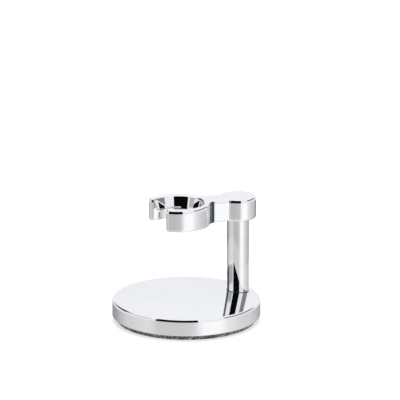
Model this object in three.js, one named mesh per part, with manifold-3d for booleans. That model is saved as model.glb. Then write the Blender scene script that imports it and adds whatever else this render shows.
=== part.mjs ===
// A chromed razor stand: a weighted round base, an upright post near its rim, and an arm on the post
// that ends in an open ring for the razor's handle. Millimetres, +Z up. The origin is the centre of
// the foot pad's underside. The post stands at +X and the ring opens towards -X.

import * as THREE from "three";
import { mergeVertices } from "three/addons/utils/BufferGeometryUtils.js";
import Module from "manifold-3d";

const wasm = await Module();
wasm.setup();

// ---- driving dimensions ----

// base
const PAD_RADIUS = 32.8;
const PAD_THICKNESS = 2.2;
const PAD_CHAMFER = 0.4;
const BASE_RADIUS = 35;
const BASE_BOTTOM_Z = PAD_THICKNESS;
const RIM_Z = 10.5; // where the rim's rounding meets the domed top
const RIM_EDGE_HEIGHT = 1.6; // the rim's edge is rounded to a quarter ellipse
const RIM_EDGE_INSET = 0.8;
const BOTTOM_ROUNDING = 0.8;
const DOME_RADIUS = 300; // the top rises gently to the middle
const CEILING_Z = 8.8; // flat roof of the hollow under the base
const BASE_WALL = 1.4;

// ballast plate in the hollow, with a pocket for the nut and its washers
const PLATE_CLEARANCE = 0.3;
const POCKET_DEPTH = 5.5;
const POCKET_RADIUS = 6.25;

// post
const POST_X = 26.4;
const POST_RADIUS = 5.2;
const POST_BORE_RADIUS = 3.5;
const SEAT_Z = 10.1; // floor of the round seat cut into the domed top
const SEAT_RADIUS = 5.5;
const GASKET_RADIUS = 5.4;
const GASKET_THICKNESS = 0.5;
const GASKET_SOCKET_RADIUS = 5.25;
const GASKET_PROUD = 0.15; // how far its lip stands above the dome

// arm: head over the post, neck, and open ring
const ARM_TOP_Z = 57.9;
const ARM_THICKNESS = 10.7;
const ARM_EDGE_HEIGHT = 1.7; // its edges are rounded to quarter ellipses
const ARM_EDGE_INSET = 0.8;
const HEAD_RADIUS = 8.6;
const NECK_HALF_WIDTH = 5.4;
const RING_X = -4.4;
const RING_RADIUS = 15.4;
const HOLE_RADIUS = 10.9;
const MOUTH_ANGLE = THREE.MathUtils.degToRad(54); // from -X to where the mouth's straight walls start
const TIP_RADIUS = 1.95;
const RING_BLEND = 5; // hollow curve between neck and ring
const HEAD_BLEND = 0.5; // hollow curve between neck and head
const FLARE_DEPTH = 5.6; // upper part of the hole, which widens upwards
const FLARE_ANGLE = THREE.MathUtils.degToRad(15.5);
const FLARE_ROUNDING = 1.2;
const TUBE_SOCKET_DEPTH = 1.5;
const TUBE_SOCKET_RADIUS = 5.35;

// M5 tie rod, thin nut and washers that clamp arm, post and base together
const ROD_RADIUS = 2.5;
const ROD_CHAMFER = 0.6;
const ROD_BOTTOM_Z = 2.5;
const ROD_TOP_Z = 54.6;
const TAPPED_HOLE_RADIUS = 2.6;
const TAPPED_HOLE_TOP_Z = 55.2;
const ROD_PASSAGE_RADIUS = 2.75;
const NUT_ACROSS_FLATS = 8;
const NUT_HEIGHT = 2.7;
const NUT_CHAMFER = 0.5;
const NUT_BORE_RADIUS = 2.6;
const WASHER_RADIUS = 5;
const WASHER_BORE_RADIUS = 2.65;
const WASHER_THICKNESS = 1;
const SPRING_WASHER_RADIUS = 4.6;
const SPRING_WASHER_BORE_RADIUS = 2.6;
const SPRING_WASHER_THICKNESS = 1.2;
const SPRING_WASHER_GAP = 0.9;

// facets round a full turn
const LARGE_TURN = 72;
const HOLE_TURN = 60; // the ring's hole and its flare share their facets
const SMALL_TURN = 36;

const ARM_BOTTOM_Z = ARM_TOP_Z - ARM_THICKNESS;
const RIGHT_ANGLE = Math.PI / 2;

// ---- solids and geometry ----

// A closed geometry as a manifold-3d solid.
function solidOf(geometry) {
  const bare = geometry.clone();
  bare.deleteAttribute("normal");
  bare.deleteAttribute("uv");
  const merged = mergeVertices(bare, 1e-4);
  const corners = merged.index.array;
  const triangles = [];
  for (let i = 0; i < corners.length; i += 3) {
    const [a, b, c] = corners.slice(i, i + 3);
    if (a !== b && b !== c && c !== a) triangles.push(a, b, c);
  }
  return new wasm.Manifold(
    new wasm.Mesh({
      numProp: 3,
      vertProperties: merged.attributes.position.array,
      triVerts: new Uint32Array(triangles),
    }),
  );
}

function geometryOf(solid) {
  const mesh = solid.getMesh();
  const geometry = new THREE.BufferGeometry();
  geometry.setAttribute("position", new THREE.BufferAttribute(mesh.vertProperties, 3));
  geometry.setIndex(new THREE.BufferAttribute(mesh.triVerts, 1));
  geometry.computeVertexNormals();
  return geometry;
}

// A profile of [radius, z] points, listed from the lower end on the axis outwards and up to the
// upper end on the axis, turned about the vertical axis through x.
function turned(profile, segments, x = 0) {
  const points = profile.map(([radius, z]) => new THREE.Vector2(radius, z));
  const geometry = new THREE.LatheGeometry(points, segments);
  geometry.rotateX(RIGHT_ANGLE);
  geometry.translate(x, 0, 0);
  return solidOf(geometry);
}

function cylinder(radius, bottom, top, segments, x = 0) {
  const profile = [
    [0, bottom],
    [radius, bottom],
    [radius, top],
    [0, top],
  ];
  return turned(profile, segments, x);
}

// Points on an arc in a turned profile; angles are measured from the outward direction.
function arcPoints(radius, z, arcRadius, startAngle, endAngle, steps) {
  const points = [];
  for (let i = 0; i <= steps; i += 1) {
    const angle = startAngle + ((endAngle - startAngle) * i) / steps;
    points.push([radius + arcRadius * Math.cos(angle), z + arcRadius * Math.sin(angle)]);
  }
  return points;
}

// ---- base ----

const RIM_CENTRE_RADIUS = BASE_RADIUS - RIM_EDGE_INSET;
const RIM_CENTRE_Z = RIM_Z - RIM_EDGE_HEIGHT;
const DOME_EDGE_SLOPE = Math.asin(RIM_CENTRE_RADIUS / DOME_RADIUS);
const DOME_CENTRE_Z = RIM_Z - Math.sqrt(DOME_RADIUS ** 2 - RIM_CENTRE_RADIUS ** 2);

function rimPoints(steps) {
  const points = [];
  for (let i = 0; i < steps; i += 1) {
    const angle = (RIGHT_ANGLE * i) / steps;
    const radius = RIM_CENTRE_RADIUS + RIM_EDGE_INSET * Math.cos(angle);
    points.push([radius, RIM_CENTRE_Z + RIM_EDGE_HEIGHT * Math.sin(angle)]);
  }
  return points;
}

// The dome's surface, raised by an amount, from its edge to its middle.
function domePoints(raise, steps) {
  const start = RIGHT_ANGLE - DOME_EDGE_SLOPE;
  const points = arcPoints(0, DOME_CENTRE_Z, DOME_RADIUS + raise, start, RIGHT_ANGLE, steps);
  points[steps][0] = 0;
  return points;
}

function makeBaseShell() {
  const bottomRounding = arcPoints(
    BASE_RADIUS - BOTTOM_ROUNDING,
    BASE_BOTTOM_Z + BOTTOM_ROUNDING,
    BOTTOM_ROUNDING,
    -RIGHT_ANGLE,
    0,
    3,
  );
  const profile = [
    [0, BASE_BOTTOM_Z],
    ...bottomRounding,
    ...rimPoints(6),
    ...domePoints(0, 4),
  ];
  const hollowRadius = BASE_RADIUS - BASE_WALL;
  return turned(profile, LARGE_TURN)
    .subtract(cylinder(hollowRadius, BASE_BOTTOM_Z - 1, CEILING_Z, LARGE_TURN))
    .subtract(cylinder(SEAT_RADIUS, SEAT_Z, ARM_BOTTOM_Z, SMALL_TURN, POST_X))
    .subtract(cylinder(ROD_PASSAGE_RADIUS, CEILING_Z - 1, SEAT_Z + 1, SMALL_TURN, POST_X));
}

function makeBallastPlate() {
  const radius = BASE_RADIUS - BASE_WALL - PLATE_CLEARANCE;
  const pocketTop = BASE_BOTTOM_Z + POCKET_DEPTH;
  return cylinder(radius, BASE_BOTTOM_Z, CEILING_Z, LARGE_TURN)
    .subtract(cylinder(POCKET_RADIUS, BASE_BOTTOM_Z - 1, pocketTop, SMALL_TURN, POST_X))
    .subtract(cylinder(ROD_PASSAGE_RADIUS, pocketTop - 1, CEILING_Z + 1, SMALL_TURN, POST_X));
}

function makeFootPad() {
  const profile = [
    [0, 0],
    [PAD_RADIUS - PAD_CHAMFER, 0],
    [PAD_RADIUS, PAD_CHAMFER],
    [PAD_RADIUS, PAD_THICKNESS],
    [0, PAD_THICKNESS],
  ];
  return turned(profile, LARGE_TURN);
}

// ---- post ----

function makePostTube() {
  const bottom = SEAT_Z + GASKET_THICKNESS;
  const top = ARM_BOTTOM_Z + TUBE_SOCKET_DEPTH;
  const bore = cylinder(POST_BORE_RADIUS, bottom - 1, top + 1, SMALL_TURN, POST_X);
  return cylinder(POST_RADIUS, bottom, top, SMALL_TURN, POST_X).subtract(bore);
}

// A shallow rubber cup under the tube; its lip follows the slope of the dome.
function makeFootGasket() {
  const lipLimit = turned([[0, 0], [BASE_RADIUS, 0], ...domePoints(GASKET_PROUD, 4)], LARGE_TURN);
  const socketFloor = SEAT_Z + GASKET_THICKNESS;
  return cylinder(GASKET_RADIUS, SEAT_Z, SEAT_Z + 4, SMALL_TURN, POST_X)
    .intersect(lipLimit)
    .subtract(cylinder(GASKET_SOCKET_RADIUS, socketFloor, SEAT_Z + 5, SMALL_TURN, POST_X))
    .subtract(cylinder(ROD_PASSAGE_RADIUS, SEAT_Z - 1, SEAT_Z + 1, SMALL_TURN, POST_X));
}

// ---- arm ----

// Outline seen from above, counter-clockwise from the neck side of the head.
function armOutline() {
  const tipY = HOLE_RADIUS * Math.sin(MOUTH_ANGLE) + TIP_RADIUS;
  const tipReach = Math.sqrt((RING_RADIUS - TIP_RADIUS) ** 2 - tipY ** 2);
  const tipX = RING_X - tipReach;
  const tipTurn = Math.atan2(tipY, -tipReach);
  const holeTurn = Math.PI - MOUTH_ANGLE;

  const ringBlendY = NECK_HALF_WIDTH + RING_BLEND;
  const ringBlendReach = Math.sqrt((RING_RADIUS + RING_BLEND) ** 2 - ringBlendY ** 2);
  const ringBlendX = RING_X + ringBlendReach;
  const ringBlendTurn = Math.atan2(ringBlendY, ringBlendReach);

  const headBlendY = NECK_HALF_WIDTH + HEAD_BLEND;
  const headBlendReach = Math.sqrt((HEAD_RADIUS + HEAD_BLEND) ** 2 - headBlendY ** 2);
  const headBlendX = POST_X - headBlendReach;
  const headBlendTurn = Math.atan2(headBlendY, headBlendReach);
  const headTurn = Math.PI - headBlendTurn;

  const quarter = RIGHT_ANGLE;
  const arcs = [
    [POST_X, 0, HEAD_RADIUS, -headTurn, headTurn, 28],
    [headBlendX, headBlendY, HEAD_BLEND, -headBlendTurn, -quarter, 3],
    [ringBlendX, ringBlendY, RING_BLEND, -quarter, ringBlendTurn - Math.PI, 6],
    [RING_X, 0, RING_RADIUS, ringBlendTurn, tipTurn, 20],
    [tipX, tipY, TIP_RADIUS, tipTurn, 3 * quarter, 8],
    [RING_X, 0, HOLE_RADIUS, holeTurn, -holeTurn, 42],
    [tipX, -tipY, TIP_RADIUS, quarter, 4 * quarter - tipTurn, 8],
    [RING_X, 0, RING_RADIUS, -tipTurn, -ringBlendTurn, 20],
    [ringBlendX, -ringBlendY, RING_BLEND, Math.PI - ringBlendTurn, quarter, 6],
    [headBlendX, -headBlendY, HEAD_BLEND, quarter, headBlendTurn, 3],
  ];
  const points = [];
  for (const [x, y, radius, start, end, steps] of arcs) {
    for (let i = 0; i <= steps; i += 1) {
      const angle = start + ((end - start) * i) / steps;
      const point = new THREE.Vector2(x + radius * Math.cos(angle), y + radius * Math.sin(angle));
      const last = points.at(-1);
      if (!last || last.distanceTo(point) > 1e-3) points.push(point);
    }
  }
  if (points[0].distanceTo(points.at(-1)) < 1e-3) points.pop();
  return new THREE.Shape(points);
}

// The conical opening of the hole, with its rounded upper edge.
function flareCutter() {
  const top = ARM_TOP_Z;
  const bottom = top - FLARE_DEPTH;
  const slope = Math.tan(FLARE_ANGLE);
  const coneTop = top - FLARE_ROUNDING * (1 - Math.sin(FLARE_ANGLE));
  const coneTopRadius = HOLE_RADIUS + (coneTop - bottom) * slope;
  const centreRadius = coneTopRadius + FLARE_ROUNDING * Math.cos(FLARE_ANGLE);
  const rounding = arcPoints(
    centreRadius,
    top - FLARE_ROUNDING,
    FLARE_ROUNDING,
    Math.PI - FLARE_ANGLE,
    RIGHT_ANGLE,
    5,
  );
  const profile = [
    [0, bottom],
    [HOLE_RADIUS, bottom],
    ...rounding,
    [centreRadius, top + 1],
    [0, top + 1],
  ];
  return turned(profile, HOLE_TURN, RING_X);
}

function makeHolderArm() {
  const body = new THREE.ExtrudeGeometry(armOutline(), {
    depth: ARM_THICKNESS - 2 * ARM_EDGE_HEIGHT,
    bevelThickness: ARM_EDGE_HEIGHT,
    bevelSize: ARM_EDGE_INSET,
    bevelOffset: -ARM_EDGE_INSET,
    bevelSegments: 4,
  });
  body.translate(0, 0, ARM_BOTTOM_Z + ARM_EDGE_HEIGHT);
  const socketTop = ARM_BOTTOM_Z + TUBE_SOCKET_DEPTH;
  return solidOf(body)
    .subtract(flareCutter())
    .subtract(cylinder(TUBE_SOCKET_RADIUS, ARM_BOTTOM_Z - 1, socketTop, SMALL_TURN, POST_X))
    .subtract(cylinder(TAPPED_HOLE_RADIUS, socketTop - 1, TAPPED_HOLE_TOP_Z, SMALL_TURN, POST_X));
}

// ---- tie rod, nut and washers ----

const POCKET_TOP_Z = BASE_BOTTOM_Z + POCKET_DEPTH;
const WASHER_Z = POCKET_TOP_Z - WASHER_THICKNESS;
const SPRING_WASHER_Z = WASHER_Z - SPRING_WASHER_THICKNESS;
const NUT_Z = SPRING_WASHER_Z - NUT_HEIGHT;

function makeTieRod() {
  const profile = [
    [0, ROD_BOTTOM_Z],
    [ROD_RADIUS - ROD_CHAMFER, ROD_BOTTOM_Z],
    [ROD_RADIUS, ROD_BOTTOM_Z + ROD_CHAMFER],
    [ROD_RADIUS, ROD_TOP_Z - ROD_CHAMFER],
    [ROD_RADIUS - ROD_CHAMFER, ROD_TOP_Z],
    [0, ROD_TOP_Z],
  ];
  return turned(profile, SMALL_TURN, POST_X);
}

function makeFlatWasher() {
  const bore = cylinder(WASHER_BORE_RADIUS, WASHER_Z - 1, POCKET_TOP_Z + 1, SMALL_TURN, POST_X);
  return cylinder(WASHER_RADIUS, WASHER_Z, POCKET_TOP_Z, SMALL_TURN, POST_X).subtract(bore);
}

// A split ring, clamped flat.
function makeSpringWasher() {
  const top = SPRING_WASHER_Z + SPRING_WASHER_THICKNESS;
  const bore = cylinder(SPRING_WASHER_BORE_RADIUS, SPRING_WASHER_Z - 1, top + 1, SMALL_TURN, POST_X);
  const split = new THREE.BoxGeometry(SPRING_WASHER_RADIUS, SPRING_WASHER_GAP, 4);
  split.translate(POST_X + SPRING_WASHER_RADIUS * 0.75, 0, SPRING_WASHER_Z);
  return cylinder(SPRING_WASHER_RADIUS, SPRING_WASHER_Z, top, SMALL_TURN, POST_X)
    .subtract(bore)
    .subtract(solidOf(split));
}

function makeThinNut() {
  const top = NUT_Z + NUT_HEIGHT;
  const cornerRadius = NUT_ACROSS_FLATS / Math.sqrt(3);
  const hexagon = new THREE.CylinderGeometry(cornerRadius, cornerRadius, NUT_HEIGHT, 6);
  hexagon.rotateX(RIGHT_ANGLE);
  hexagon.translate(POST_X, 0, NUT_Z + NUT_HEIGHT / 2);
  const chamferedBlank = turned(
    [
      [0, NUT_Z],
      [cornerRadius - NUT_CHAMFER, NUT_Z],
      [cornerRadius, NUT_Z + NUT_CHAMFER / 2],
      [cornerRadius, top - NUT_CHAMFER / 2],
      [cornerRadius - NUT_CHAMFER, top],
      [0, top],
    ],
    SMALL_TURN,
    POST_X,
  );
  const bore = cylinder(NUT_BORE_RADIUS, NUT_Z - 1, top + 1, SMALL_TURN, POST_X);
  return solidOf(hexagon).intersect(chamferedBlank).subtract(bore);
}

// ---- materials ----

function metal(color, roughness) {
  return new THREE.MeshStandardMaterial({ color, roughness, metalness: 1 });
}

function nonMetal(color, roughness) {
  return new THREE.MeshStandardMaterial({ color, roughness, metalness: 0 });
}

// ---- the stand ----

const PIECES = [
  ["holder_arm", makeHolderArm, metal(0xe6e8eb, 0.05)],
  ["post_tube", makePostTube, metal(0xe2e4e7, 0.06)],
  ["foot_gasket", makeFootGasket, nonMetal(0x1a1a1b, 0.7)],
  ["base_shell", makeBaseShell, metal(0xe6e8eb, 0.05)],
  ["ballast_plate", makeBallastPlate, metal(0x6d6a66, 0.55)],
  ["tie_rod", makeTieRod, metal(0xa9a69c, 0.35)],
  ["flat_washer", makeFlatWasher, metal(0xb5b3ac, 0.35)],
  ["spring_washer", makeSpringWasher, metal(0x8f8d88, 0.4)],
  ["thin_nut", makeThinNut, metal(0xb5b3ac, 0.35)],
  ["foot_pad", makeFootPad, nonMetal(0x5b534c, 0.9)],
];

const stand = new THREE.Group();
for (const [name, makeSolid, material] of PIECES) {
  const mesh = new THREE.Mesh(geometryOf(makeSolid()), material);
  mesh.name = name;
  stand.add(mesh);
}

export default stand;
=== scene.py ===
# The looks of the razor stand: polished chrome arm, post and base, a black gasket and a speckled pad.
# Lengths are metres in the CAD model's frame, and directions round the stand are degrees from the
# camera's side, positive to the camera's right.

import math

import bpy
import numpy as np
from mathutils import Matrix, Vector


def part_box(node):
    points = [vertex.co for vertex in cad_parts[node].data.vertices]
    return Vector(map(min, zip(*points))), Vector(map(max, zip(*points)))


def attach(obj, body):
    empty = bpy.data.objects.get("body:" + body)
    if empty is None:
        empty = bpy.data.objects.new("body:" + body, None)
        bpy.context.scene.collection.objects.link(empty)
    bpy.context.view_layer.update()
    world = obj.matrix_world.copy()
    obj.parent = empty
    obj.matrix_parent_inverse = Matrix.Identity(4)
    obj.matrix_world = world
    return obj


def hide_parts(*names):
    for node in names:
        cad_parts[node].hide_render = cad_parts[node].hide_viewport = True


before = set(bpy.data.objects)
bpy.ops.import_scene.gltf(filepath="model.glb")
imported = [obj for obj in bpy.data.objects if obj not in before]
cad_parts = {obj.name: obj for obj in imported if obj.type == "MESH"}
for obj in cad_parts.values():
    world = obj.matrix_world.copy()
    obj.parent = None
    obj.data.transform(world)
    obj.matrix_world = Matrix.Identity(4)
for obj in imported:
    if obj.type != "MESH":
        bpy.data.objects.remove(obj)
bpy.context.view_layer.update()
MM = 0.001

# ---- camera ----
# It stands where the photograph's camera stood: a long lens, slightly above the stand.
CAMERA_AZIMUTH = math.radians(-22.5)
CAMERA_ELEVATION = math.radians(17.2)
CAMERA_DISTANCE = 1.925
SENSOR_WIDTH = 36  # in millimetres, as Blender states it
# Measured at the base: the width of the view, and how far the middle of the base's rim is from the
# middle of the view.
VIEW_WIDTH = 188.95 * MM
BASE_LEFT_OF_MIDDLE = 6.45 * MM
BASE_BELOW_MIDDLE = 46.1 * MM


def camera_axes():
    """Right, up and back of a camera that looks straight at the base."""
    flat_back = Vector((math.sin(CAMERA_AZIMUTH), -math.cos(CAMERA_AZIMUTH), 0))
    back = flat_back * math.cos(CAMERA_ELEVATION) + Vector((0, 0, math.sin(CAMERA_ELEVATION)))
    right = Vector((math.cos(CAMERA_AZIMUTH), math.sin(CAMERA_AZIMUTH), 0))
    return right, back.cross(right), back


def make_camera(target):
    data = bpy.data.cameras.new("camera")
    data.sensor_width = SENSOR_WIDTH
    data.lens = SENSOR_WIDTH * CAMERA_DISTANCE / VIEW_WIDTH
    camera = bpy.data.objects.new("camera", data)
    right, up, back = camera_axes()
    pose = Matrix((right, up, back)).transposed().to_4x4()
    pose.translation = target + back * CAMERA_DISTANCE
    tilt = Matrix.Rotation(math.atan2(BASE_BELOW_MIDDLE, CAMERA_DISTANCE), 4, "X")
    pan = Matrix.Rotation(math.atan2(-BASE_LEFT_OF_MIDDLE, CAMERA_DISTANCE), 4, "Y")
    camera.matrix_world = pose @ tilt @ pan
    bpy.context.scene.collection.objects.link(camera)
    bpy.context.scene.camera = camera


# ---- mesh tools ----


def make_object(name, vertices, faces, normals=None):
    mesh = bpy.data.meshes.new(name)
    mesh.from_pydata([tuple(v) for v in vertices], [], faces)
    mesh.polygons.foreach_set("use_smooth", [True] * len(mesh.polygons))
    if normals is not None:
        mesh.normals_split_custom_set_from_vertices([tuple(n) for n in normals])
    piece = bpy.data.objects.new(name, mesh)
    bpy.context.scene.collection.objects.link(piece)
    return piece


def stand_for(piece, node, material):
    piece.data.materials.append(material)
    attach(piece, "root")
    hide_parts(node)


def arc(centre, height, radius, start, end, steps):
    """Points (radius, z, normal angle) of a rounding in a turned profile, angles in degrees."""
    points = []
    for i in range(steps + 1):
        angle = math.radians(start + (end - start) * i / steps)
        points.append((centre + radius * math.cos(angle), height + radius * math.sin(angle), angle))
    return points


def quad_rows(rows, segments, start=0):
    """Faces that join closed rows of points, each row to the next."""
    faces = []
    for row in range(rows - 1):
        for k in range(segments):
            a = start + row * segments + k
            b = start + row * segments + (k + 1) % segments
            faces.append((a, b, b + segments, a + segments))
    return faces


def revolve(name, sections, segments, x=0.0):
    """A turned piece. Each section is a smooth run of (radius, z, normal angle) points; the normal
    jumps where one section ends and the next starts."""
    vertices, normals, faces = [], [], []
    turns = [2 * math.pi * k / segments for k in range(segments)]
    for section in sections:
        start = len(vertices)
        for radius, z, angle in section:
            for turn in turns:
                out = Vector((math.cos(turn), math.sin(turn), 0))
                vertices.append(out * radius + Vector((x, 0, z)))
                normals.append(out * math.cos(angle) + Vector((0, 0, math.sin(angle))))
        faces += quad_rows(len(section), segments, start)
    return make_object(name, vertices, faces, normals)


# ---- measures read from the CAD solids ----

base_low, base_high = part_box("base_shell")
pad_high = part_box("foot_pad")[1]
post_low, post_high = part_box("post_tube")
arm_low, arm_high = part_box("holder_arm")
gasket_low, gasket_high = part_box("foot_gasket")

BASE_RADIUS = base_high.x
BASE_BOTTOM = base_low.z
DOME_TOP = base_high.z
PAD_RADIUS = pad_high.x
POST_X = (post_low.x + post_high.x) / 2
POST_RADIUS = (post_high.y - post_low.y) / 2
ARM_BOTTOM = arm_low.z
ARM_TOP = arm_high.z
RING_RADIUS = arm_high.y
HEAD_RADIUS = arm_high.x - POST_X
GASKET_RADIUS = (gasket_high.y - gasket_low.y) / 2

# the other measures that shape the arm and the base
RIM_Z = 10.5 * MM
RIM_EDGE_HEIGHT = 1.6 * MM
RIM_EDGE_INSET = 0.8 * MM
BOTTOM_ROUNDING = 0.8 * MM
DOME_RADIUS = 300 * MM
BASE_WALL = 1.4 * MM
CEILING = 8.8 * MM
RING_X = -4.4 * MM
HOLE_RADIUS = 10.9 * MM
MOUTH_ANGLE = math.radians(54)
TIP_RADIUS = 1.95 * MM
MOUTH_BLEND = 0.5 * MM
NECK_HALF_WIDTH = 5.4 * MM
RING_BLEND = 5 * MM
HEAD_BLEND = 0.5 * MM
ARM_EDGE_HEIGHT = 1.7 * MM
ARM_EDGE_INSET = 0.8 * MM
HOLE_EDGE = 0.35  # the hole's lower edge is sharper than the arm's outer edges
# In the photograph the hollow curve between ring and neck is dark, most likely by a reflection that the
# studio below doesn't give. So it is painted, although the real chrome very likely has no such stripe:
# places along the curve from the ring, 0, to the neck, 1, and the darkness at each.
PAINTED_HOLLOW_REFLECTION = ((0, 0.06, 0.48, 0.60, 0.69, 0.76), (0, 0.5, 0.55, 1, 1, 0))
FLARE_DEPTH = 5.6 * MM
FLARE_ANGLE = math.radians(15.5)
FLARE_ROUNDING = 1.2 * MM


# ---- base ----


def dome_height(radius):
    return DOME_TOP - DOME_RADIUS + math.sqrt(DOME_RADIUS**2 - radius**2)


def make_base(material):
    edge_radius = BASE_RADIUS - RIM_EDGE_INSET
    slope = math.asin(edge_radius / DOME_RADIUS)
    bottom_radius = BASE_RADIUS - BOTTOM_ROUNDING
    bottom = arc(bottom_radius, BASE_BOTTOM + BOTTOM_ROUNDING, BOTTOM_ROUNDING, -90, 0, steps=8)
    side = [(BASE_RADIUS, BASE_BOTTOM + BOTTOM_ROUNDING, 0)]
    rim_steps, dome_steps = 20, 30
    for i in range(rim_steps):
        turn = math.pi / 2 * i / rim_steps
        radius = edge_radius + RIM_EDGE_INSET * math.cos(turn)
        z = RIM_Z - RIM_EDGE_HEIGHT + RIM_EDGE_HEIGHT * math.sin(turn)
        normal = math.atan2(math.sin(turn) / RIM_EDGE_HEIGHT, math.cos(turn) / RIM_EDGE_INSET)
        side.append((radius, z, min(normal, math.pi / 2 - slope)))
    for i in range(dome_steps + 1):
        radius = edge_radius * (1 - i / dome_steps)
        side.append((radius, dome_height(radius), math.pi / 2 - math.asin(radius / DOME_RADIUS)))
    hollow = BASE_RADIUS - BASE_WALL
    down, inward = -math.pi / 2, math.pi
    sections = [
        [(0, CEILING, down), (hollow, CEILING, down)],
        [(hollow, CEILING, inward), (hollow, BASE_BOTTOM, inward)],
        [(hollow, BASE_BOTTOM, down), (bottom_radius, BASE_BOTTOM, down)],
        bottom[:-1] + side,
    ]
    stand_for(revolve("base", sections, segments=240), "base_shell", material)


def make_pad(material):
    edge = 0.35 * MM
    top = pad_high.z
    side_rows = 12
    side = [(PAD_RADIUS, edge + (top - edge) * i / side_rows, 0) for i in range(side_rows + 1)]
    down = -math.pi / 2
    sections = [
        [(0, 0, down), (PAD_RADIUS - edge, 0, down)],
        arc(PAD_RADIUS - edge, edge, edge, -90, 0, steps=5) + side[1:],
        [(PAD_RADIUS, top, math.pi / 2), (0, top, math.pi / 2)],
    ]
    stand_for(revolve("pad", sections, segments=240), "foot_pad", material)


# ---- post ----


def make_post(material):
    rounding = 0.3 * MM
    flat_radius = POST_RADIUS - rounding
    bore_radius = 3.5 * MM
    low, high = post_low.z, post_high.z
    down, up, inward = -math.pi / 2, math.pi / 2, math.pi
    sections = [
        [(bore_radius, low, down), (flat_radius, low, down)],
        arc(flat_radius, low + rounding, rounding, -90, 0, steps=4)
        + arc(flat_radius, high - rounding, rounding, 0, 90, steps=4),
        [(flat_radius, high, up), (bore_radius, high, up)],
        [(bore_radius, high, inward), (bore_radius, low, inward)],
    ]
    post = revolve("post", sections, segments=180, x=POST_X)
    stand_for(post, "post_tube", material)


def make_gasket(material):
    """A cup under the tube, whose rounded lip stands a little above the sloping dome."""
    proud = 0.15 * MM
    clearance = 0.03 * MM
    lip = GASKET_RADIUS - POST_RADIUS - clearance
    middle = GASKET_RADIUS - lip / 2
    segments, steps = 120, 10
    vertices = []
    profile = [(GASKET_RADIUS, None)]  # radius, and height within the lip; None is the cup's underside
    for i in range(steps + 1):
        angle = math.pi * i / steps
        profile.append((middle + lip / 2 * math.cos(angle), lip / 2 * math.sin(angle)))
    profile.append((GASKET_RADIUS - lip, None))
    for radius, lift in profile:
        for k in range(segments):
            turn = 2 * math.pi * k / segments
            x = POST_X + radius * math.cos(turn)
            y = radius * math.sin(turn)
            z = gasket_low.z
            if lift is not None:
                z = dome_height(math.hypot(x, y)) + proud - lip / 2 + lift
            vertices.append((x, y, z))
    piece = make_object("gasket", vertices, quad_rows(len(profile), segments))
    stand_for(piece, "foot_gasket", material)


# ---- arm ----


def arm_outline():
    """Points of the arm seen from above, counter-clockwise, with outward normals, the share of the
    edge rounding that each takes, and how dark the painted reflection in the hollow curve makes each."""
    mouth_y = HOLE_RADIUS * math.sin(MOUTH_ANGLE)
    tip_y = mouth_y + TIP_RADIUS
    tip_reach = math.sqrt((RING_RADIUS - TIP_RADIUS) ** 2 - tip_y**2)
    tip_x = RING_X - tip_reach
    tip_turn = math.atan2(tip_y, -tip_reach)
    mouth_blend_y = mouth_y + MOUTH_BLEND
    mouth_reach = math.sqrt((HOLE_RADIUS + MOUTH_BLEND) ** 2 - mouth_blend_y**2)
    mouth_x = RING_X - mouth_reach
    hole_turn = math.atan2(mouth_blend_y, -mouth_reach)

    ring_y = NECK_HALF_WIDTH + RING_BLEND
    ring_reach = math.sqrt((RING_RADIUS + RING_BLEND) ** 2 - ring_y**2)
    ring_turn = math.atan2(ring_y, ring_reach)
    ring_x = RING_X + ring_reach

    head_y = NECK_HALF_WIDTH + HEAD_BLEND
    head_reach = math.sqrt((HEAD_RADIUS + HEAD_BLEND) ** 2 - head_y**2)
    blend_turn = math.atan2(head_y, head_reach)
    head_x = POST_X - head_reach
    head_turn = math.pi - blend_turn
    quarter = math.pi / 2

    # centre x, centre y, radius, start, end, steps, side of the normal, share of the edge rounding
    arcs = [
        (POST_X, 0, HEAD_RADIUS, -head_turn, head_turn, 120, 1, 1),
        (head_x, head_y, HEAD_BLEND, -blend_turn, -quarter, 6, -1, 1),
        (ring_x, ring_y, RING_BLEND, -quarter, ring_turn - math.pi, 48, -1, 1),
        (RING_X, 0, RING_RADIUS, ring_turn, tip_turn, 90, 1, 1),
        (tip_x, tip_y, TIP_RADIUS, tip_turn, 3 * quarter, 32, 1, 1),
        (mouth_x, mouth_blend_y, MOUTH_BLEND, 3 * quarter, math.pi + hole_turn, 10, 1, HOLE_EDGE),
        (RING_X, 0, HOLE_RADIUS, hole_turn, -hole_turn, 168, -1, HOLE_EDGE),
        (mouth_x, -mouth_blend_y, MOUTH_BLEND, math.pi - hole_turn, quarter, 10, 1, HOLE_EDGE),
        (tip_x, -tip_y, TIP_RADIUS, quarter, 4 * quarter - tip_turn, 32, 1, 1),
        (RING_X, 0, RING_RADIUS, -tip_turn, -ring_turn, 90, 1, 1),
        (ring_x, -ring_y, RING_BLEND, math.pi - ring_turn, quarter, 48, -1, 1),
        (head_x, -head_y, HEAD_BLEND, quarter, blend_turn, 6, -1, 1),
    ]
    longest = 0.5 * MM
    closest = 0.01 * MM
    rows = []  # x, y, normal x, normal y, edge share, darkness of the painted reflection
    for x, y, radius, start, end, steps, side, share in arcs:
        for i in range(steps + 1):
            angle = start + (end - start) * i / steps
            across, up = math.cos(angle), math.sin(angle)
            # the hollow curve on -Y starts at the ring, with start > 0, and the one on +Y ends there
            from_ring = i / steps if start > 0 else 1 - i / steps
            # darkness of the painted reflection, only along the hollow curves between ring and neck
            dark = np.interp(from_ring, *PAINTED_HOLLOW_REFLECTION) if radius == RING_BLEND else 0
            row = (x + radius * across, y + radius * up, side * across, side * up, share, dark)
            gap = math.dist(rows[-1][:2], row[:2]) if rows else longest
            if gap < closest:
                continue
            if gap > longest:
                add_straight(rows, row, int(gap / longest))
            rows.append(row)
    if math.dist(rows[0][:2], rows[-1][:2]) < closest:
        rows.pop()
    table = np.array(rows)
    return table[:, :2], table[:, 2:4], table[:, 4], table[:, 5]


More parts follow.
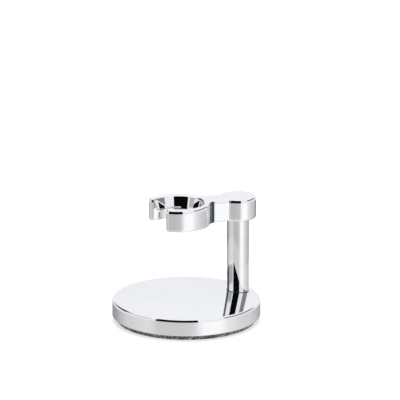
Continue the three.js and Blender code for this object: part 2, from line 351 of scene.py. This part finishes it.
def add_straight(rows, end, count):
    """Evenly spaced points of a straight wall, from the last point to just before its end."""
    start = rows[-1]
    run = math.dist(start[:2], end[:2])
    along_x, along_y = (end[0] - start[0]) / run, (end[1] - start[1]) / run
    for i in range(1, count + 1):
        part = i / (count + 1)
        x, y = start[0] + (end[0] - start[0]) * part, start[1] + (end[1] - start[1]) * part
        rows.append((x, y, along_y, -along_x, start[4] + (end[4] - start[4]) * part, 0))


def edge_inset(z):
    """How far the rounded edges pull the arm's wall in at a height."""
    from_edge = min(z - ARM_BOTTOM, ARM_TOP - z)
    if from_edge >= ARM_EDGE_HEIGHT:
        return 0.0
    rise = 1 - from_edge / ARM_EDGE_HEIGHT
    return ARM_EDGE_INSET * (1 - math.sqrt(max(0.0, 1 - rise**2)))


def flare_radius(z):
    """Radius of the conical opening of the hole at a height, with its rounded upper edge."""
    bottom = ARM_TOP - FLARE_DEPTH
    if z <= bottom:
        return HOLE_RADIUS
    cone_top = ARM_TOP - FLARE_ROUNDING * (1 - math.sin(FLARE_ANGLE))
    slope = math.tan(FLARE_ANGLE)
    if z <= cone_top:
        return HOLE_RADIUS + (z - bottom) * slope
    centre = HOLE_RADIUS + (cone_top - bottom) * slope + FLARE_ROUNDING * math.cos(FLARE_ANGLE)
    rise = (z - ARM_TOP + FLARE_ROUNDING) / FLARE_ROUNDING
    return centre - FLARE_ROUNDING * math.sqrt(max(0.0, 1 - rise**2))


def wall_heights():
    """Heights of the rows of the arm's wall, close together where it curves."""
    closest = 0.001 * MM
    heights = [ARM_BOTTOM, ARM_TOP]
    edge_rows, flare_rows, lower_rows = 16, 12, 3
    for i in range(1, edge_rows):
        drop = math.cos(math.pi / 2 * i / edge_rows)
        heights.append(ARM_BOTTOM + ARM_EDGE_HEIGHT * (1 - drop))
        heights.append(ARM_TOP - ARM_EDGE_HEIGHT * (1 - drop))
    flare_bottom = ARM_TOP - FLARE_DEPTH
    for i in range(flare_rows + 1):
        heights.append(flare_bottom + (FLARE_DEPTH - ARM_EDGE_HEIGHT) * i / flare_rows)
    lower_edge = ARM_BOTTOM + ARM_EDGE_HEIGHT
    for i in range(lower_rows):
        heights.append(lower_edge + (flare_bottom - lower_edge) * i / lower_rows)
    heights.sort()
    kept = heights[:1]
    for z in heights[1:]:
        if z - kept[-1] > closest:
            kept.append(z)
    return kept


def make_arm(material):
    points, outward, edge_share, painted_reflection_darkness = arm_outline()
    count = len(points)
    hole_centre = np.array((RING_X, 0))
    rows = []
    for z in wall_heights():
        row = points - outward * (edge_share * edge_inset(z))[:, None]
        if z > ARM_TOP - FLARE_DEPTH:
            from_centre = row - hole_centre
            distance = np.linalg.norm(from_centre, axis=1)
            push = np.maximum(flare_radius(z) / distance, 1)
            row = hole_centre + from_centre * push[:, None]
        rows.append(np.column_stack((row, np.full(count, z))))
    grid = np.array(rows)
    along = np.roll(grid, -1, axis=1) - np.roll(grid, 1, axis=1)
    upward = np.gradient(grid, axis=0)
    normals = np.cross(along, upward)
    normals[0] = (0, 0, -1)
    normals[-1] = (0, 0, 1)
    normals /= np.linalg.norm(normals, axis=2)[:, :, None]
    faces = quad_rows(len(grid), count)
    faces.append(tuple(reversed(range(count))))
    faces.append(tuple(range((len(grid) - 1) * count, len(grid) * count)))
    piece = make_object("arm", grid.reshape(-1, 3), faces, normals.reshape(-1, 3))
    # the painted reflection: a dark stripe on the upright walls of the hollow curves, kept in the
    # attribute "hollow"
    hollow = piece.data.attributes.new("hollow", "FLOAT", "POINT")
    upright = 1 - normals[:, :, 2] ** 2
    hollow.data.foreach_set("value", (upright * painted_reflection_darkness).ravel())
    stand_for(piece, "holder_arm", material)


# ---- materials ----


class Shader:
    """A material or world node tree, with short ways to add and join nodes."""

    def __init__(self, tree):
        self.tree = tree

    def node(self, kind, **settings):
        made = self.tree.nodes.new(kind)
        for name, value in settings.items():
            setattr(made, name, value)
        return made

    def join(self, source, target):
        self.tree.links.new(source, target)

    def math(self, operation, *inputs):
        made = self.node("ShaderNodeMath", operation=operation)
        for i, value in enumerate(inputs):
            if isinstance(value, (int, float)):
                made.inputs[i].default_value = value
            else:
                self.join(value, made.inputs[i])
        return made.outputs[0]

    def noise(self, scale, detail=3.0, roughness=0.5, stretch=None):
        place = self.node("ShaderNodeTexCoord").outputs["Object"]
        if stretch:
            mapping = self.node("ShaderNodeMapping")
            mapping.inputs["Scale"].default_value = stretch
            self.join(place, mapping.inputs["Vector"])
            place = mapping.outputs["Vector"]
        made = self.node("ShaderNodeTexNoise")
        made.inputs["Scale"].default_value = scale
        made.inputs["Detail"].default_value = detail
        made.inputs["Roughness"].default_value = roughness
        self.join(place, made.inputs["Vector"])
        return made.outputs["Fac"]

    def ramp(self, value, low, high, low_to, high_to):
        made = self.node("ShaderNodeMapRange")
        for name, number in (
            ("From Min", low),
            ("From Max", high),
            ("To Min", low_to),
            ("To Max", high_to),
        ):
            made.inputs[name].default_value = number
        self.join(value, made.inputs["Value"])
        return made.outputs["Result"]

    def colours(self, value, stops):
        made = self.node("ShaderNodeValToRGB")
        ramp = made.color_ramp
        while len(ramp.elements) < len(stops):
            ramp.elements.new(0.5)
        for element, (position, colour) in zip(ramp.elements, stops):
            element.position = position
            element.color = (*colour, 1)
        self.join(value, made.inputs["Fac"])
        return made.outputs["Color"]

    def bump(self, height, strength, distance):
        made = self.node("ShaderNodeBump")
        made.inputs["Strength"].default_value = strength
        made.inputs["Distance"].default_value = distance
        self.join(height, made.inputs["Height"])
        return made.outputs["Normal"]


def new_material(name):
    material = bpy.data.materials.new(name)
    material.use_nodes = True
    return material, Shader(material.node_tree), material.node_tree.nodes["Principled BSDF"]


def chrome_material(name, tint, paints_hollow_reflection=False):
    material, shader, surface = new_material(name)
    surface.inputs["Metallic"].default_value = 1
    smudges = shader.noise(scale=90, detail=4, roughness=0.6)
    colour = shader.colours(smudges, [(0.3, tuple(c * 0.965 for c in tint)), (0.6, tint)])
    # a painted reflection: the colour is darkened towards near black where the "hollow" attribute says
    if paints_hollow_reflection:
        painted_reflection_darkness = shader.node("ShaderNodeAttribute", attribute_name="hollow").outputs["Fac"]
        painted_reflection_shades = [(0, (1, 1, 1)), (0.5, (0.15, 0.165, 0.195)), (1, (0.008, 0.008, 0.009))]
        shade = shader.node("ShaderNodeMix", data_type="RGBA", blend_type="MULTIPLY")
        shade.inputs["Factor"].default_value = 1
        shader.join(colour, shade.inputs["A"])
        shader.join(shader.colours(painted_reflection_darkness, painted_reflection_shades), shade.inputs["B"])
        colour = shade.outputs["Result"]
    shader.join(colour, surface.inputs["Base Color"])
    shader.join(shader.ramp(smudges, 0.35, 0.75, 0.02, 0.055), surface.inputs["Roughness"])
    return material


def rubber_material():
    material, shader, surface = new_material("black_rubber")
    grain = shader.noise(scale=2500, detail=4)
    shader.join(
        shader.colours(grain, [(0.3, (0.008, 0.008, 0.009)), (0.7, (0.03, 0.03, 0.033))]),
        surface.inputs["Base Color"],
    )
    shader.join(shader.ramp(grain, 0.3, 0.7, 0.45, 0.7), surface.inputs["Roughness"])
    shader.join(shader.bump(grain, strength=0.3, distance=0.1 * MM), surface.inputs["Normal"])
    return material


def pad_material():
    """Dark rubber with crumbs of cork: light and dark specks about half a millimetre across."""
    material, shader, surface = new_material("rubber_cork")
    specks = shader.noise(scale=1500, detail=3, roughness=0.6)
    blotches = shader.noise(scale=380, detail=2)
    blotch_share = 0.35
    fine = shader.math("MULTIPLY", specks, 1 - blotch_share)
    coarse = shader.math("MULTIPLY", blotches, blotch_share)
    mixed = shader.math("ADD", fine, coarse)
    stops = [
        (0.38, (0.03, 0.027, 0.024)),
        (0.46, (0.12, 0.11, 0.10)),
        (0.53, (0.30, 0.28, 0.26)),
        (0.62, (0.62, 0.60, 0.56)),
    ]
    shader.join(shader.colours(mixed, stops), surface.inputs["Base Color"])
    surface.inputs["Roughness"].default_value = 0.9
    shader.join(shader.bump(specks, strength=0.6, distance=0.3 * MM), surface.inputs["Normal"])
    return material


def steel_material(name, dark, light, rough, streak):
    """Plain or plated steel with fine marks along one direction."""
    material, shader, surface = new_material(name)
    surface.inputs["Metallic"].default_value = 1
    marks = shader.noise(scale=700, detail=5, roughness=0.65, stretch=streak)
    shader.join(shader.colours(marks, [(0.3, dark), (0.7, light)]), surface.inputs["Base Color"])
    shader.join(shader.ramp(marks, 0.3, 0.7, rough, rough + 0.2), surface.inputs["Roughness"])
    shader.join(shader.bump(marks, strength=0.15, distance=0.1 * MM), surface.inputs["Normal"])
    return material


def finish_hidden_parts():
    plate = steel_material("rolled_steel", (0.16, 0.15, 0.14), (0.34, 0.33, 0.32), 0.4, (1, 8, 1))
    rod = steel_material("zinc_rod", (0.42, 0.41, 0.36), (0.62, 0.61, 0.55), 0.28, (6, 6, 1))
    zinc = steel_material("zinc_plate", (0.46, 0.46, 0.44), (0.68, 0.67, 0.64), 0.28, (1, 1, 6))
    spring = steel_material("spring_steel", (0.2, 0.19, 0.18), (0.42, 0.4, 0.38), 0.35, (1, 1, 6))
    finishes = {
        "ballast_plate": plate,
        "tie_rod": rod,
        "flat_washer": zinc,
        "thin_nut": zinc,
        "spring_washer": spring,
    }
    for node, material in finishes.items():
        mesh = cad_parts[node].data
        mesh.materials.clear()
        mesh.materials.append(material)


# ---- studio ----

FLOOR_SIZE = 6.0


def make_floor():
    half = FLOOR_SIZE / 2
    height = 0.02 * MM  # clear of the pad's underside, so that the two faces don't flicker
    corners = [(-half, -half, height), (half, -half, height), (half, half, height), (-half, half, height)]
    floor = make_object("floor", corners, [(0, 1, 2, 3)])
    material, _, surface = new_material("pale_floor")
    surface.inputs["Base Color"].default_value = (0.42, 0.42, 0.42, 1)
    surface.inputs["Emission Color"].default_value = (1, 1, 1, 1)
    surface.inputs["Emission Strength"].default_value = 0.6
    surface.inputs["Roughness"].default_value = 0.9
    surface.inputs["Specular IOR Level"].default_value = 0
    floor.data.materials.append(material)
    floor.visible_glossy = False


# What the chrome mirrors, chosen by comparing the render with the photograph. Below the
# horizon, where its upright walls look, the grey of the surroundings changes with the direction:
# (degrees from the camera's side, linear grey).
SURROUNDINGS = [
    (-180, 0.12),
    (-150, 0.13),
    (-140, 0.20),
    (-130, 0.33),
    (-122, 0.42),
    (-105, 0.59),
    (-65, 0.75),
    (-52, 0.66),
    (-44, 0.54),
    (-10, 0.56),
    (8, 0.60),
    (14, 0.70),
    (21, 0.93),
    (28, 1.08),
    (54, 1.08),
    (60, 0.98),
    (68, 0.84),
    (90, 0.68),
    (115, 0.60),
    (135, 0.45),
    (150, 0.30),
    (180, 0.12),
]
# Above it, white with a few cards: (direction from, to, height from, to, softness, colour).
HORIZON = -14
SKY_TOP = 60
CARDS = [
    (61, 128, 4, 28, 3, (0.27, 0.26, 0.25)),
    (-105, -56, 8, 21, 2, (0.50, 0.50, 0.49)),
    (-152, -105, 4, 38, 2, (0.085, 0.10, 0.12)),
    (-48, 18, HORIZON, 38, 1.2, (0.003, 0.003, 0.003)),
]


def make_world():
    world = bpy.data.worlds.new("studio")
    bpy.context.scene.world = world
    world.use_nodes = True
    shader = Shader(world.node_tree)
    background = world.node_tree.nodes["Background"]
    direction = shader.node("ShaderNodeTexCoord").outputs["Generated"]

    def along(axis):
        made = shader.node("ShaderNodeVectorMath", operation="DOT_PRODUCT")
        shader.join(direction, made.inputs[0])
        made.inputs[1].default_value = axis
        return made.outputs["Value"]

    to_camera = (math.sin(CAMERA_AZIMUTH), -math.cos(CAMERA_AZIMUTH), 0)
    to_right = (math.cos(CAMERA_AZIMUTH), math.sin(CAMERA_AZIMUTH), 0)
    degrees = 180 / math.pi
    turn = shader.math("MULTIPLY", shader.math("ARCTAN2", along(to_right), along(to_camera)), degrees)
    height = shader.math("MULTIPLY", shader.math("ARCSINE", along((0, 0, 1))), degrees)

    def band(value, low, high, soft):
        rise = shader.ramp(value, low - soft / 2, low + soft / 2, 0, 1)
        fall = shader.ramp(value, high - soft / 2, high + soft / 2, 1, 0)
        return shader.math("MULTIPLY", rise, fall)

    def layer(under, over, share):
        mix = shader.node("ShaderNodeMix", data_type="RGBA")
        shader.join(share, mix.inputs["Factor"])
        shader.join(under, mix.inputs["A"])
        if isinstance(over, tuple):
            mix.inputs["B"].default_value = (*over, 1)
        else:
            shader.join(over, mix.inputs["B"])
        return mix.outputs["Result"]

    stops = [((angle + 180) / 360, (grey, grey, grey)) for angle, grey in SURROUNDINGS]
    low_colour = shader.colours(shader.ramp(turn, -180, 180, 0, 1), stops)
    sky_stops = [(0, (0.89, 0.90, 0.92)), (0.5, (0.975, 0.985, 1.0)), (1, (1, 1, 1))]
    sky = shader.colours(shader.ramp(height, 0, SKY_TOP, 0, 1), sky_stops)
    blend_low, blend_high = HORIZON - 1, HORIZON + 2
    colour = layer(low_colour, sky, shader.ramp(height, blend_low, blend_high, 0, 1))
    for turn_low, turn_high, low, high, soft, tone in CARDS:
        across = band(turn, turn_low, turn_high, soft)
        upward = band(height, low, high, soft)
        share = shader.math("MULTIPLY", across, upward)
        colour = layer(colour, tone, share)
    shader.join(colour, background.inputs["Color"])


def make_table_sheen():
    """The bright table close round the base, as the chrome sees it: it lifts what the base's side
    mirrors and is too small for the arm to mirror it."""
    radius, height = 110 * MM, 0.1 * MM
    glow_share = 0.25
    segments = 90
    corners = []
    for k in range(segments):
        turn = 2 * math.pi * k / segments
        corners.append((radius * math.cos(turn), radius * math.sin(turn), height))
    sheen = make_object("table_sheen", corners, [tuple(range(segments))])
    material, shader, _ = new_material("table_sheen")
    clear = shader.node("ShaderNodeBsdfTransparent")
    glow = shader.node("ShaderNodeEmission")
    mix = shader.node("ShaderNodeMixShader")
    mix.inputs["Fac"].default_value = glow_share
    shader.join(clear.outputs[0], mix.inputs[1])
    shader.join(glow.outputs[0], mix.inputs[2])
    shader.join(mix.outputs[0], material.node_tree.nodes["Material Output"].inputs["Surface"])
    sheen.data.materials.append(material)
    sheen.visible_camera = False
    sheen.visible_diffuse = False
    sheen.visible_shadow = False


def make_lamp(name, place, size, power):
    data = bpy.data.lights.new(name, "AREA")
    data.shape = "DISK"
    data.size = size
    data.energy = power
    lamp = bpy.data.objects.new(name, data)
    lamp.location = place
    lamp.rotation_euler = (-Vector(place)).to_track_quat("-Z", "Y").to_euler()
    lamp.visible_glossy = False
    bpy.context.scene.collection.objects.link(lamp)


# ---- put it together ----

make_camera(Vector((0, 0, RIM_Z)))
# the arm's chrome carries the painted reflection in its hollow curves
make_arm(chrome_material("arm_chrome", (0.90, 0.905, 0.92), paints_hollow_reflection=True))
make_post(chrome_material("post_chrome", (0.88, 0.885, 0.9)))
make_base(chrome_material("base_chrome", (0.89, 0.895, 0.91)))
make_gasket(rubber_material())
make_pad(pad_material())
finish_hidden_parts()
make_floor()
make_table_sheen()
make_world()
make_lamp("overhead", place=(0.1, 0.2, 1.0), size=0.8, power=9)
bpy.context.scene.view_settings.view_transform = "Standard"
